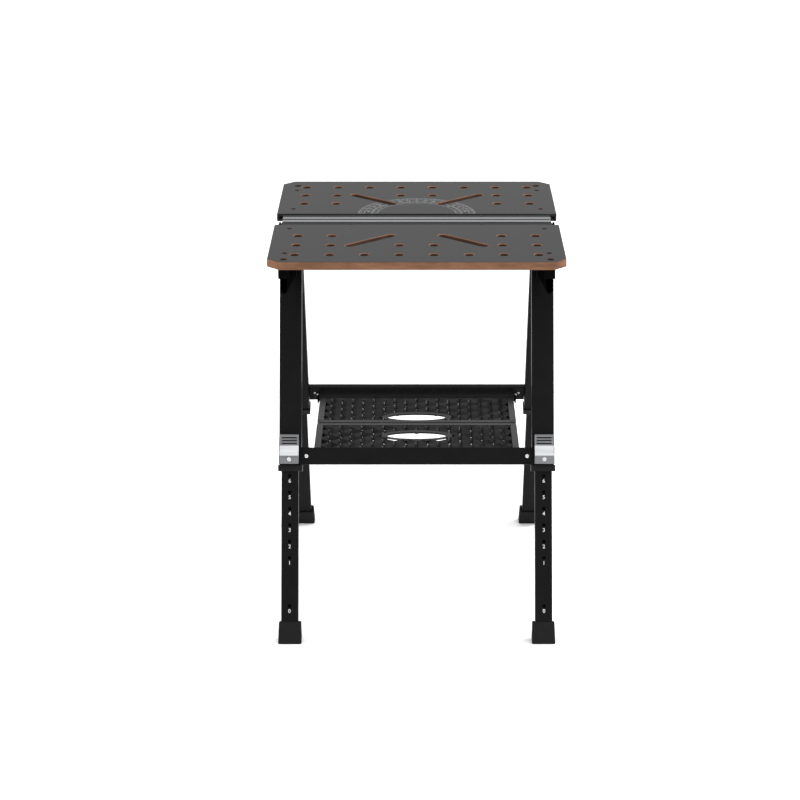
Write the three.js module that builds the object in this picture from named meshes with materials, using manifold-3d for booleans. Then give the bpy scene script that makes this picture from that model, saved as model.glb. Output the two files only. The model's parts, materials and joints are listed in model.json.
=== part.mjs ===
// Folding, height-adjustable work bench for welding and clamping.
// Two panel tops hinge on a centre beam that carries a T-track. Two leg frames hinge under the beam
// and stand as an A. Each leg telescopes and is held by a rocker latch. A mesh shelf in two halves
// hangs between the cross bars of the frames, and four props hold the tops up.
// Units are millimetres. +X is to the right, +Y to the rear, +Z up, and the floor is Z = 0.

import * as THREE from "three";
import { mergeVertices } from "three/addons/utils/BufferGeometryUtils.js";
import Module from "manifold-3d";

const wasm = await Module();
wasm.setup();

// ---- Driving dimensions -------------------------------------------------------------------------

const GAP = 0.3; // clearance between touching pieces
const TOP = 890; // height of the working surface
const SPLAY = THREE.MathUtils.degToRad(22.2); // lean of each leg from upright

const board = {
  width: 640, depth: 300, thick: 18, inner: 46.5, chamfer: 26,
  holePitch: 75, holeRadius: 10, margin: 57.5, slotWidth: 20,
  slotOuter: { x: 146, fromFar: 130 }, slotInner: { x: 57, fromFar: 210 },
  bore: { x: 310.5, drop: 10.5, depth: 14, radius: 3 },
};
const beam = { halfLength: 305, halfWidth: 45.6, top: 888, bottom: 870.5, wall: 2.2 };
const rail = { halfLength: 304, halfWidth: 20.4, drop: 0.4, slot: 8.2, pocket: 17, pocketHeight: 7, lip: 3.2 };
const bracket = {
  inner: 255.5, outer: 315.5, wall: 3.6, top: 870, bottom: 783, halfTop: 62, halfFoot: 36, corner: 6,
  shoulder: 17, bridge: 4, halfBridge: 38,
};
const hinge = { y: 52, z: 861, radius: 4 }; // axis on which an arm turns, for the front half
const arm = { inner: 272, outer: 296, top: 871.7, bottom: 854, farBottom: 848, far: 331, wall: 2, drain: 3 };
const pivot = { y: 21.2, z: 798, radius: 5 }; // axis on which a leg frame turns
const pinEnds = [254, 317]; // every hinge pin runs between these distances from the middle

// Along a leg, s runs down from the pivot axis and w runs from the outer face to the inner one.
const outerLeg = { inner: 260.5, outer: 310.5, depth: 28, wall: 2.4, head: 14, end: 471 };
const innerLeg = { inner: 267.2, outer: 305.8, depth: 20, wall: 2, start: 360, end: 845 };
const setting = { x: 287, pin: 452, pitch: 37, steps: 7, radius: 4, lowest: 330.4 };
const collar = { inner: 258.4, outer: 313.2, depth: 33, start: 464, end: 478.5, play: 0.4 };
const foot = { x: 285.9, start: 817, topWidth: 49.4, width: 55, topDepth: 27, depth: 34 };
const latch = { inner: 266, outer: 309, cheek: 2.2, axis: 435, axisOut: 23, start: 396, end: 462 };
const prop = {
  x: 284, s: 32, out: 27, width: 17.6, height: 22.5, tipHeight: 33.5, below: 10.8, heel: 6.5, wall: 2, length: 276,
  radius: 3.5, rise: THREE.MathUtils.degToRad(12),
};
const bar = {
  reach: 264, between: 259.8, height: 39, out: 16.4, depth: 14, wall: 2.4, middle: { front: 444.2, rear: 427.5 },
};
const shelf = {
  z: 398, far: 178.4, railInner: 219, railOuter: 233.5, railHeight: 13, gap: 5.2, sheet: 2,
  axisY: 172, axisZ: 391.5, pin: 3.4, ear: 4, long: 50, short: 43, strand: 5.2,
  handLength: 138, handWidth: 42, handFromSeam: { front: 60, rear: 21 },
};

const paint = (hex, roughness, metalness) => new THREE.MeshStandardMaterial({ color: hex, roughness, metalness });
const finish = {
  panel: paint(0x4a4a4b, 0.55, 0),
  rail: paint(0xb9babb, 0.35, 0.9),
  steel: paint(0x1b1b1c, 0.5, 0.3),
  mesh: paint(0x3a3a3b, 0.55, 0.4),
  latch: paint(0xb4b5b6, 0.4, 0.8),
  plastic: paint(0x232324, 0.6, 0),
  rubber: paint(0x1d1d1e, 0.85, 0),
};

// ---- Solids -------------------------------------------------------------------------------------

// Turns a closed three.js geometry into a manifold solid.
function solid(geometry) {
  const bare = geometry.clone();
  bare.deleteAttribute("normal");
  bare.deleteAttribute("uv");
  const merged = mergeVertices(bare, 1e-4);
  return new wasm.Manifold(new wasm.Mesh({
    numProp: 3,
    vertProperties: merged.attributes.position.array,
    triVerts: new Uint32Array(merged.index.array),
  }));
}

// Turns a manifold solid back into a three.js geometry.
function geometryOf(body) {
  const mesh = body.getMesh();
  const positions = new Float32Array(mesh.numVert * 3);
  for (let i = 0; i < mesh.numVert; i += 1) {
    positions.set(mesh.vertProperties.subarray(i * mesh.numProp, i * mesh.numProp + 3), i * 3);
  }
  const geometry = new THREE.BufferGeometry();
  geometry.setAttribute("position", new THREE.BufferAttribute(positions, 3));
  geometry.setIndex(new THREE.BufferAttribute(new Uint32Array(mesh.triVerts), 1));
  geometry.computeVertexNormals();
  return geometry;
}

// A block between two corners.
function block(x0, x1, y0, y1, z0, z1) {
  const geometry = new THREE.BoxGeometry(Math.abs(x1 - x0), Math.abs(y1 - y0), Math.abs(z1 - z0));
  geometry.translate((x0 + x1) / 2, (y0 + y1) / 2, (z0 + z1) / 2);
  return solid(geometry);
}

// A round bar along X, from x0 to x1.
function barAlongX(x0, x1, y, z, radius, sides = 16) {
  const geometry = new THREE.CylinderGeometry(radius, radius, Math.abs(x1 - x0), sides);
  geometry.rotateZ(Math.PI / 2);
  geometry.translate((x0 + x1) / 2, y, z);
  return solid(geometry);
}

// A round bar along Y, from y0 to y1.
function barAlongY(x, y0, y1, z, radius, sides = 16) {
  const geometry = new THREE.CylinderGeometry(radius, radius, Math.abs(y1 - y0), sides);
  geometry.translate(x, (y0 + y1) / 2, z);
  return solid(geometry);
}

// A plate from x0 to x1 whose outline is a list of [y, z] points.
function plateAlongX(x0, x1, points) {
  const outline = new THREE.Shape(points.map(([y, z]) => new THREE.Vector2(y, z)));
  const geometry = new THREE.ExtrudeGeometry(outline, { depth: Math.abs(x1 - x0), bevelEnabled: false });
  geometry.applyMatrix4(new THREE.Matrix4().set(0, 0, 1, Math.min(x0, x1), 1, 0, 0, 0, 0, 1, 0, 0, 0, 0, 0, 1));
  return solid(geometry);
}

// A flat outline in X and Y, raised from z0 to z1.
function slab(outline, z0, z1, curveSegments = 12) {
  const geometry = new THREE.ExtrudeGeometry(outline, { depth: z1 - z0, bevelEnabled: false, curveSegments });
  geometry.translate(0, 0, z0);
  return geometry;
}

// A slot with round ends between two points, cut as a hole in an outline.
function slotHole(ax, ay, bx, by, width) {
  const turn = Math.atan2(by - ay, bx - ax);
  const path = new THREE.Path();
  path.absarc(bx, by, width / 2, turn - Math.PI / 2, turn + Math.PI / 2, false);
  path.absarc(ax, ay, width / 2, turn + Math.PI / 2, turn + 1.5 * Math.PI, false);
  return path;
}

const add = (first, ...rest) => rest.reduce((sum, item) => sum.add(item), first);
const cut = (first, ...rest) => rest.reduce((sum, item) => sum.subtract(item), first);

function named(name, shape, material) {
  const geometry = shape.isBufferGeometry ? shape : geometryOf(shape);
  const mesh = new THREE.Mesh(geometry, material);
  mesh.name = name;
  return mesh;
}

// ---- Tops ---------------------------------------------------------------------------------------

// One top panel, drawn for the front half: outer corners cut off, round clamping holes on a square
// grid that thins towards the beam, a slanted slot on each side, and a bore in each inner corner.
function topPanel() {
  const half = board.width / 2;
  const near = -board.inner;
  const far = near - board.depth;
  const outline = new THREE.Shape();
  outline.moveTo(-half, near);
  outline.lineTo(-half, far + board.chamfer);
  outline.lineTo(-half + board.chamfer, far);
  outline.lineTo(half - board.chamfer, far);
  outline.lineTo(half, far + board.chamfer);
  outline.lineTo(half, near);
  outline.closePath();
  const columns = [0.5, 1.5, 2.5, 3.5];
  const rows = [[0, columns], [1, [0.5, 2.5, 3.5]], [2, [2.5, 3.5]]];
  for (const [row, places] of rows) {
    for (const place of places) {
      for (const side of [-1, 1]) {
        const hole = new THREE.Path();
        const y = far + board.margin + row * board.holePitch;
        hole.absarc(side * place * board.holePitch, y, board.holeRadius, 0, 2 * Math.PI, true);
        outline.holes.push(hole);
      }
    }
  }
  const { slotOuter, slotInner, bore } = board;
  for (const side of [-1, 1]) {
    const start = [side * slotOuter.x, far + slotOuter.fromFar];
    const stop = [side * slotInner.x, far + slotInner.fromFar];
    outline.holes.push(slotHole(...start, ...stop, board.slotWidth));
  }
  const panel = solid(slab(outline, TOP - board.thick, TOP, 8));
  const bores = [-1, 1].map((side) =>
    barAlongY(side * bore.x, near - bore.depth, near + 2, TOP - bore.drop, bore.radius, 12));
  return cut(panel, ...bores);
}

// A square tube under the panel, a little deeper at its closed outer end. Its inner end turns on the
// hinge pin, and a small drain hole in one side opens the hollow.
function topArm(side) {
  const x0 = side * arm.inner;
  const x1 = side * arm.outer;
  const { wall } = arm;
  const inset = side * wall;
  const near = -hinge.y - 16; // where the hollow ends
  const middle = (arm.bottom + arm.top) / 2;
  const tube = cut(
    plateAlongX(x0, x1, [
      [-arm.far, arm.farBottom], [near, arm.bottom], [-hinge.y, arm.bottom], [-hinge.y, arm.top], [-arm.far, arm.top],
    ]),
    plateAlongX(x0 + inset, x1 - inset, [
      [-arm.far + wall, arm.farBottom + wall], [near, arm.bottom + wall], [near, arm.top - wall],
      [-arm.far + wall, arm.top - wall],
    ]),
    barAlongX(x0 - side, x0 + 2 * inset, near - 12, middle, arm.drain),
  );
  const knuckle = barAlongX(x0, x1, -hinge.y, hinge.z, 7);
  return cut(add(tube, knuckle), barAlongX(x0 - side, x1 + side, -hinge.y, hinge.z, hinge.radius + 0.2));
}

// ---- Centre beam --------------------------------------------------------------------------------

// A folded channel whose two top flanges lie beside the T-track.
function centreBeam() {
  const { halfLength: x, halfWidth: y, top, bottom, wall } = beam;
  const inner = rail.halfWidth + GAP;
  const whole = block(-x, x, -y, y, bottom, top);
  const middle = block(-x - 1, x + 1, -inner, inner, bottom + wall, top + 1);
  const hollows = [-1, 1].map((side) =>
    block(-x - 1, x + 1, side * (inner + wall), side * (y - wall), bottom + wall, top - wall));
  return cut(whole, middle, ...hollows);
}

// The T-track: an aluminium bar with one undercut slot along its middle.
function tTrack() {
  const bottom = beam.bottom + beam.wall + GAP;
  const top = TOP - rail.drop;
  const x = rail.halfLength;
  const lipFoot = top - rail.lip;
  return cut(
    block(-x, x, -rail.halfWidth, rail.halfWidth, bottom, top),
    block(-x - 1, x + 1, -rail.slot / 2, rail.slot / 2, lipFoot - 1, top + 1),
    block(-x - 1, x + 1, -rail.pocket / 2, rail.pocket / 2, lipFoot - rail.pocketHeight, lipFoot),
  );
}

// The hanger under one end of the beam: a bridge with two cheeks that carry the hinge pins.
function apexBracket(side) {
  const { inner, outer, wall, top, bottom, halfTop, halfFoot, corner, shoulder } = bracket;
  const rightHalf = [
    [halfFoot, bottom], [halfTop, top - shoulder], [halfTop, top - 2 - corner], [halfTop - corner, top - 2],
  ];
  const leftHalf = rightHalf.map(([y, z]) => [-y, z]).reverse();
  const cheeks = [[inner, inner + wall], [outer - wall, outer]]
    .map(([x0, x1]) => plateAlongX(side * x0, side * x1, [...rightHalf, ...leftHalf]));
  const reach = bracket.halfBridge;
  const bridge = block(side * inner, side * outer, -reach, reach, top - bracket.bridge, top);
  const ends = [side * (inner - 5), side * (outer + 5)];
  const bores = [-1, 1].flatMap((way) => [
    barAlongX(...ends, way * hinge.y, hinge.z, hinge.radius + GAP),
    barAlongX(...ends, way * pivot.y, pivot.z, pivot.radius + GAP),
  ]);
  return cut(add(bridge, ...cheeks), ...bores);
}

// A pin along one of the front half's axes.
const pinOn = (axis, side) => barAlongX(side * pinEnds[0], side * pinEnds[1], -axis.y, axis.z, axis.radius);

// ---- Legs, in leg axes: X as usual, Y outer (-) to inner (+), Z up the leg from the pivot --------

// The fixed upper leg: a tube with a clearance bore for the latch pin and two ears for the prop.
function upperLeg(side) {
  const { inner, outer, depth, wall, head, end } = outerLeg;
  const tube = cut(
    block(side * inner, side * outer, -depth / 2, depth / 2, -end, head),
    block(side * (inner + wall), side * (outer - wall), -depth / 2 + wall, depth / 2 - wall, -end - 1, head - wall),
    barAlongX(side * 250, side * 320, 0, 0, pivot.radius + 0.25),
    barAlongY(side * setting.x, -depth / 2 - 1, -depth / 2 + wall + 1, -setting.pin, setting.radius + 1.6),
  );
  const middle = side * prop.x;
  const halfGap = prop.width / 2 + 0.6;
  const ears = [-1, 1].map((way) => {
    const near = middle + way * halfGap;
    return block(near, near + way * 3, -prop.out - 6, -depth / 2 + 0.5, -prop.s - 8, -prop.s + 8);
  });
  const rivet = barAlongX(middle - halfGap - 1, middle + halfGap + 1, -prop.out, -prop.s, prop.radius - 0.4);
  return add(tube, ...ears, rivet);
}

// The sliding lower leg: a tube with a row of setting holes in its outer wall.
function lowerLeg(side) {
  const { inner, outer, depth, wall, start, end } = innerLeg;
  const steps = Array.from({ length: setting.steps }, (_, step) => setting.pin + step * setting.pitch);
  const holes = [...steps, setting.pin + setting.lowest].map((s) =>
    barAlongY(side * setting.x, -depth / 2 - 1, -depth / 2 + wall + 1, -s, setting.radius, 12));
  return cut(
    block(side * inner, side * outer, -depth / 2, depth / 2, -end, -start),
    block(side * (inner + wall), side * (outer - wall), -depth / 2 + wall, depth / 2 - wall, -end - 1, -start + 1),
    ...holes,
  );
}

// The guide collar at the mouth of the upper leg.
function guideCollar(side) {
  const { inner, outer, depth, start, end, play } = collar;
  const wide = outerLeg.depth / 2 + GAP;
  const narrow = innerLeg.depth / 2 + play;
  const socket = [side * (outerLeg.inner - GAP), side * (outerLeg.outer + GAP)];
  const throat = [side * (innerLeg.inner - play), side * (innerLeg.outer + play)];
  return cut(
    block(side * inner, side * outer, -depth / 2, depth / 2, -end, -start),
    block(...socket, -wide, wide, -outerLeg.end - GAP, -start + 1),
    block(...throat, -narrow, narrow, -end - 1, -start),
  );
}

// A box about the Z axis that tapers from one rectangle at the top to another at the bottom.
function taper(top, bottom) {
  const geometry = new THREE.BoxGeometry(1, 1, 1);
  const place = geometry.attributes.position;
  for (let i = 0; i < place.count; i += 1) {
    const end = place.getZ(i) > 0 ? top : bottom;
    place.setXYZ(i, place.getX(i) * end.width, place.getY(i) * end.depth, end.z);
  }
  return solid(geometry);
}

// The rubber foot: it flares downwards, takes the end of the lower leg and is cut level with the floor.
function rubberFoot(side) {
  const drop = pivot.z / Math.cos(SPLAY); // distance down the leg's middle to the floor
  const body = taper(
    { width: foot.topWidth, depth: foot.topDepth, z: -foot.start },
    { width: foot.width, depth: foot.depth, z: -drop - 30 },
  ).translate([side * foot.x, 0, 0]);
  const half = innerLeg.depth / 2 + GAP;
  const pocket = block(side * (innerLeg.inner - GAP), side * (innerLeg.outer + GAP), -half, half,
    -innerLeg.end - GAP, -foot.start + 1);
  const ground = block(-400, 400, -120, 120, -80, 0)
    .rotate([THREE.MathUtils.radToDeg(SPLAY), 0, 0]).translate([0, 0, -drop]);
  return cut(body, pocket, ground);
}

// The fixed latch seat: a back plate with two cheeks and the cross pin on which the rocker turns.
function latchSeat(side) {
  const face = -outerLeg.depth / 2 - GAP;
  const { inner, outer, cheek, axis, axisOut, start, end } = latch;
  const plate = cut(
    block(side * (inner - 1.6), side * (outer + 1.2), face - 1.6, face, -end, -start - 4),
    barAlongY(side * setting.x, face - 3, face + 1, -setting.pin, setting.radius + 1.6),
  );
  const cheeks = [[inner - 1.6, inner - 0.4], [outer + 0.4, outer + 1.6]].map(([x0, x1]) =>
    plateAlongX(side * x0, side * x1, [
      [face, -start - 4], [face, -end], [face - 15, -end], [face - 15, -axis + 8], [face - 8, -start - 22],
      [face - 5, -start - 4],
    ]));
  const pin = barAlongX(side * (inner - 1), side * (outer + 1), -axisOut, -axis, cheek);
  return add(plate, ...cheeks, pin);
}

// The rocker: a grooved thumb plate above, a sloping face, and a block below that holds the locking pin.
function latchRocker(side) {
  const { inner, outer, cheek, axis, axisOut, start, end } = latch;
  const profile = plateAlongX(side * inner, side * outer, [
    [-28, -start], [-28.6, -start - 25], [-37, -start - 47.5], [-37, -end], [-18.6, -end], [-18.6, -start - 28],
    [-24, -start - 24], [-24, -start],
  ]);
  const grooves = [7, 13.5, 20].map((step) =>
    block(side * (inner + 4), side * (outer - 4), -29.5, -27.3, -start - step - 1.6, -start - step + 1.6));
  const bore = barAlongX(side * (inner - 1), side * (outer + 1), -axisOut, -axis, cheek + 0.3);
  const pin = barAlongY(side * setting.x, -20, -innerLeg.depth / 2 - 0.6, -setting.pin, setting.radius - 0.6);
  return add(cut(profile, ...grooves, bore), pin);
}

// The prop that holds a top up: a trough with a round bottom, turning on the leg's ears and growing
// deeper towards its tip. It is drawn along -Y from its pivot, then tilted up to meet the arm.
function topProp(side) {
  const half = prop.width / 2;
  const trough = (radius, y0, y1) => {
    const outline = new THREE.Shape();
    outline.moveTo(radius, prop.height - half);
    outline.lineTo(-radius, prop.height - half);
    outline.absarc(0, 0, radius, Math.PI, 2 * Math.PI, false);
    outline.closePath();
    const geometry = new THREE.ExtrudeGeometry(outline, { depth: y1 - y0, bevelEnabled: false, curveSegments: 6 });
    geometry.rotateX(Math.PI / 2);
    geometry.translate(0, y1, 0);
    return solid(geometry);
  };
  const shell = cut(
    trough(half, -prop.length, prop.heel),
    trough(half - prop.wall, -prop.length - 1, prop.heel + 1).translate([0, 0, 0.01]),
    block(-half - 1, half + 1, -prop.length - 1, prop.heel + 1, prop.height - half - 1, prop.height),
  );
  const brim = prop.height - half;
  const deeper = shell.warp((point) => {
    const reached = Math.max(-point[1] / prop.length, 0);
    point[2] = brim - (brim - point[2]) * (1 + reached * (prop.tipHeight / prop.height - 1));
  });
  const bored = cut(deeper.translate([0, 0, half - prop.below]), barAlongX(-20, 20, 0, 0, prop.radius));
  return bored.translate([side * prop.x, 0, 0]);
}

// ---- Cross bars and shelf -----------------------------------------------------------------------

// World [y, z] of the front half turned into leg axes.
function inLegAxes(y, z) {
  const dy = y + pivot.y;
  const dz = z - pivot.z;
  return [dy * Math.cos(SPLAY) - dz * Math.sin(SPLAY), dy * Math.sin(SPLAY) + dz * Math.cos(SPLAY)];
}

// A square-tube cross bar with a lapped outer wall and two ears that carry the shelf's hinge stubs.
function crossBar(end) {
  const { reach, between, height, out, depth, wall, middle } = bar;
  const up = -middle[end] + height / 2;
  const down = -middle[end] - height / 2;
  const inner = -out + depth;
  const tube = cut(
    block(-between, between, -out, inner, down, up),
    block(-between - 1, between + 1, -out + wall, inner - wall, down + wall, up - wall),
  );
  const lap = block(-reach, reach, -out, -out + 2, down, up);
  const [axisW, axisS] = inLegAxes(-shelf.axisY, shelf.axisZ);
  const earFoot = shelf.railOuter + 2.5;
  const ears = [-1, 1].flatMap((side) => [
    block(side * earFoot, side * (earFoot + shelf.ear), inner - 1, axisW + 5, axisS - 5,
      Math.max(axisS + 5, down + 8)),
    barAlongX(side * (earFoot + 1), side * (shelf.railInner + 1), axisW, axisS, shelf.pin, 16),
  ]);
  return add(tube, lap, ...ears);
}

// The frame of one shelf half: two side rails joined by an outer strip and a thinner seam strip.
function shelfFrame() {
  const { z, far, railInner, railOuter, railHeight, gap, axisY, axisZ, pin } = shelf;
  const rails = [-1, 1].map((side) =>
    block(side * railInner, side * railOuter, -far, -gap - 8, z - railHeight, z));
  const outer = block(-railInner - 1, railInner + 1, -far + 1, -far + 9, z - 10, z - 0.5);
  const seam = block(-railOuter + 1, railOuter - 1, -gap - 11, -gap, z - 7, z - 0.5);
  const bores = [-1, 1].map((side) =>
    barAlongX(side * (railInner - 1), side * (railOuter + 1), -axisY, axisZ, pin + 0.3, 16));
  return cut(add(rails[0], rails[1], outer, seam), ...bores);
}

// One sheet of expanded metal with staggered diamonds and a long grip hole.
// The grip hole lies nearer the seam on the rear half than on the front one.
function shelfSheet(end) {
  const { z, far, gap, railInner, sheet, long, short, strand, handLength, handWidth } = shelf;
  const x = railInner - GAP;
  const y0 = -far + 9 + GAP;
  const y1 = -gap - 11 - GAP;
  const outline = new THREE.Shape();
  outline.moveTo(-x, y0);
  outline.lineTo(x, y0);
  outline.lineTo(x, y1);
  outline.lineTo(-x, y1);
  outline.closePath();
  const handY = -shelf.handFromSeam[end] - handWidth / 2;
  const handHalf = (handLength - handWidth) / 2;
  outline.holes.push(slotHole(-handHalf, handY, handHalf, handY, handWidth));
  const a = long / 2 - strand;
  const b = short / 2 - strand * 0.8;
  for (let row = 0; row < 20; row += 1) {
    const cy = y0 + 3 + short / 2 + (row * short) / 2;
    for (let column = -9; column <= 9; column += 1) {
      const cx = (column + (row % 2) / 2) * long;
      const inside = Math.abs(cx) + a < x - 3 && cy + b < y1 - 3;
      const clear = Math.abs(cx) - a > handLength / 2 + 4 || Math.abs(cy - handY) - b > handWidth / 2 + 4;
      if (inside && clear) {
        const diamond = new THREE.Path();
        diamond.setFromPoints([[a, 0], [0, -b], [-a, 0], [0, b], [a, 0]]
          .map(([dx, dy]) => new THREE.Vector2(cx + dx, cy + dy)));
        outline.holes.push(diamond);
      }
    }
  }
  return solid(slab(outline, z - 2 - sheet, z - 2, 8));
}

// ---- Assembly -----------------------------------------------------------------------------------

const sides = [["left", -1], ["right", 1]];

// One half of the bench, drawn as the front half. Turned half round, it becomes the rear half, so
// its left and right names are swapped there.
function benchHalf(end, way) {
  const half = new THREE.Group();
  const sign = way < 0 ? 1 : -1;
  const sided = (piece, side, shape, material) => {
    const label = sides.find(([, value]) => value === side * sign)[0];
    return named(`${piece}_${end}_${label}`, shape, material);
  };
  half.add(named(`top_panel_${end}`, topPanel(), finish.panel));
  const frame = new THREE.Group();
  frame.position.set(0, -pivot.y, pivot.z);
  frame.rotation.x = -SPLAY;
  frame.add(named(`cross_bar_${end}`, crossBar(end), finish.steel));
  for (const [, side] of sides) {
    half.add(sided("top_arm", side, topArm(side), finish.steel));
    half.add(sided("hinge_pin", side, pinOn(hinge, side), finish.latch));
    half.add(sided("leg_pin", side, pinOn(pivot, side), finish.latch));
    frame.add(sided("upper_leg", side, upperLeg(side), finish.steel));
    frame.add(sided("lower_leg", side, lowerLeg(side), finish.steel));
    frame.add(sided("guide_collar", side, guideCollar(side), finish.plastic));
    frame.add(sided("rubber_foot", side, rubberFoot(side), finish.rubber));
    frame.add(sided("latch_seat", side, latchSeat(side), finish.steel));
    frame.add(sided("latch_rocker", side, latchRocker(side), finish.latch));
    const mesh = sided("top_prop", side, topProp(side), finish.steel);
    mesh.position.set(0, -prop.out, -prop.s);
    mesh.rotation.x = SPLAY - prop.rise;
    frame.add(mesh);
  }
  half.add(frame);
  half.add(named(`shelf_frame_${end}`, shelfFrame(), finish.mesh));
  half.add(named(`shelf_sheet_${end}`, shelfSheet(end), finish.mesh));
  half.rotation.z = way < 0 ? 0 : Math.PI;
  return half;
}

const bench = new THREE.Group();
bench.name = "folding_work_bench";
bench.add(named("centre_beam", centreBeam(), finish.steel));
bench.add(named("t_track", tTrack(), finish.rail));
for (const [label, side] of sides) {
  bench.add(named(`apex_bracket_${label}`, apexBracket(side), finish.steel));
}
bench.add(benchHalf("front", -1));
bench.add(benchHalf("rear", 1));

export default bench;
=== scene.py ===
"""Looks of a folding, height-adjustable welding table.

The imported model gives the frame. This script dresses it: the tops become bevelled film-faced boards with
bare fibreboard edges, the steel is rounded and powder coated, the latches are zinc plated, and the shelf
is made of expanded metal. Lengths are in metres, angles in radians unless a name says otherwise.
"""

import json
import logging
import math
from dataclasses import dataclass
from enum import Enum
from typing import Any, Iterable, Sequence

import bmesh
import bpy
import numpy as np
from mathutils import Matrix, Vector

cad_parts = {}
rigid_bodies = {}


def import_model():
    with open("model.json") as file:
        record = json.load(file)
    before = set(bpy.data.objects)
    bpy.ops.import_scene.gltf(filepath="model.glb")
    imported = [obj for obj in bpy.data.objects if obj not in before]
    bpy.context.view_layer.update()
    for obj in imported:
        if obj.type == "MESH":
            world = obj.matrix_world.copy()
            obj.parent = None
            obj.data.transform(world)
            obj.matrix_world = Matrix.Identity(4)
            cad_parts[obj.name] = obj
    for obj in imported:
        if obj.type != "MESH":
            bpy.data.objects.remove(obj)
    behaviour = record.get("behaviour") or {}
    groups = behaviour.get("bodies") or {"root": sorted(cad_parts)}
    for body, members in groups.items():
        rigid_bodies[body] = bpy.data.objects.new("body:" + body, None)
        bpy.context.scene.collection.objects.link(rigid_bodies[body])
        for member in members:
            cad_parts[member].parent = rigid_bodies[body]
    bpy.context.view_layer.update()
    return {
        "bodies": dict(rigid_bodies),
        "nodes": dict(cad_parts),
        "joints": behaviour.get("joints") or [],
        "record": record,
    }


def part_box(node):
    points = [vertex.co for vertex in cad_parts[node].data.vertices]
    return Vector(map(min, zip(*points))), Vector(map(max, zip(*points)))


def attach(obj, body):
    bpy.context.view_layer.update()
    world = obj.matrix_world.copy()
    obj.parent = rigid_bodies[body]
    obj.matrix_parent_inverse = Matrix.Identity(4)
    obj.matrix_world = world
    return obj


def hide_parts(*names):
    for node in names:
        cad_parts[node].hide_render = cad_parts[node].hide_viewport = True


LOG = logging.getLogger("welding_table")
MM = 0.001
# Points closer than this become one point.
WELD = 1e-6
# Faces that meet at less than this angle become one flat face.
FLAT = math.radians(1.0)
# How thick a print is.
PRINT_FILM = 0.1 * MM
# How far printed figures are thickened, as a share of their size.
FIGURE_WEIGHT = 0.003
# How much of the fine noise goes into a finish's tone, and the values that give its two tones.
GRAIN_SHARE = 0.35
TONE_RANGE = (0.45, 0.9)

# The points of one closed skin, and its faces.
Shell = tuple[np.ndarray, list]
Piece = bpy.types.Object
Mesh = bpy.types.Mesh


class End(Enum):
    """The user's side of the table and the far side."""

    FRONT = "front"
    REAR = "rear"

    @property
    def turn(self) -> Matrix:
        """The half turn that carries a front piece to this end."""
        return Matrix.Identity(4) if self is End.FRONT else Matrix.Rotation(math.pi, 4, "Z")

    @property
    def sign(self) -> int:
        """+1 at the front and -1 at the rear, where left and right change places."""
        return 1 if self is End.FRONT else -1


class Side(Enum):
    """Left and right as the user sees them."""

    LEFT = -1
    RIGHT = 1

    @property
    def label(self) -> str:
        """The word used in node names."""
        return self.name.lower()


# ---- Materials ----


def linear(hex_colour: str, alpha: float = 1.0) -> tuple[float, float, float, float]:
    """Turns an sRGB hex colour into a linear RGBA value.

    Args:
        hex_colour: six hex digits, with or without a leading #.
        alpha: the fourth value.

    Returns:
        Linear red, green, blue and alpha.
    """
    digits = hex_colour.lstrip("#")
    srgb = [int(digits[i : i + 2], 16) / 255 for i in (0, 2, 4)]
    rgb = [c / 12.92 if c <= 0.04045 else ((c + 0.055) / 1.055) ** 2.4 for c in srgb]
    return (rgb[0], rgb[1], rgb[2], alpha)


def node(tree: Any, kind: str, settings: dict[str, Any] | None = None, **links: Any) -> Any:
    """Adds one shader node.

    Args:
        tree: the material's node tree.
        kind: the node's type, without its ShaderNode prefix.
        settings: socket or attribute values by name; a name with a space or a capital is a socket.
        links: output sockets to link, by input name with _ for a space.

    Returns:
        The new node.
    """
    made = tree.nodes.new("ShaderNode" + kind)
    for name, value in (settings or {}).items():
        if hasattr(made, name):
            setattr(made, name, value)
        else:
            made.inputs[name].default_value = value
    for name, socket in links.items():
        tree.links.new(socket, made.inputs[name.replace("_", " ")])
    return made


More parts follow.
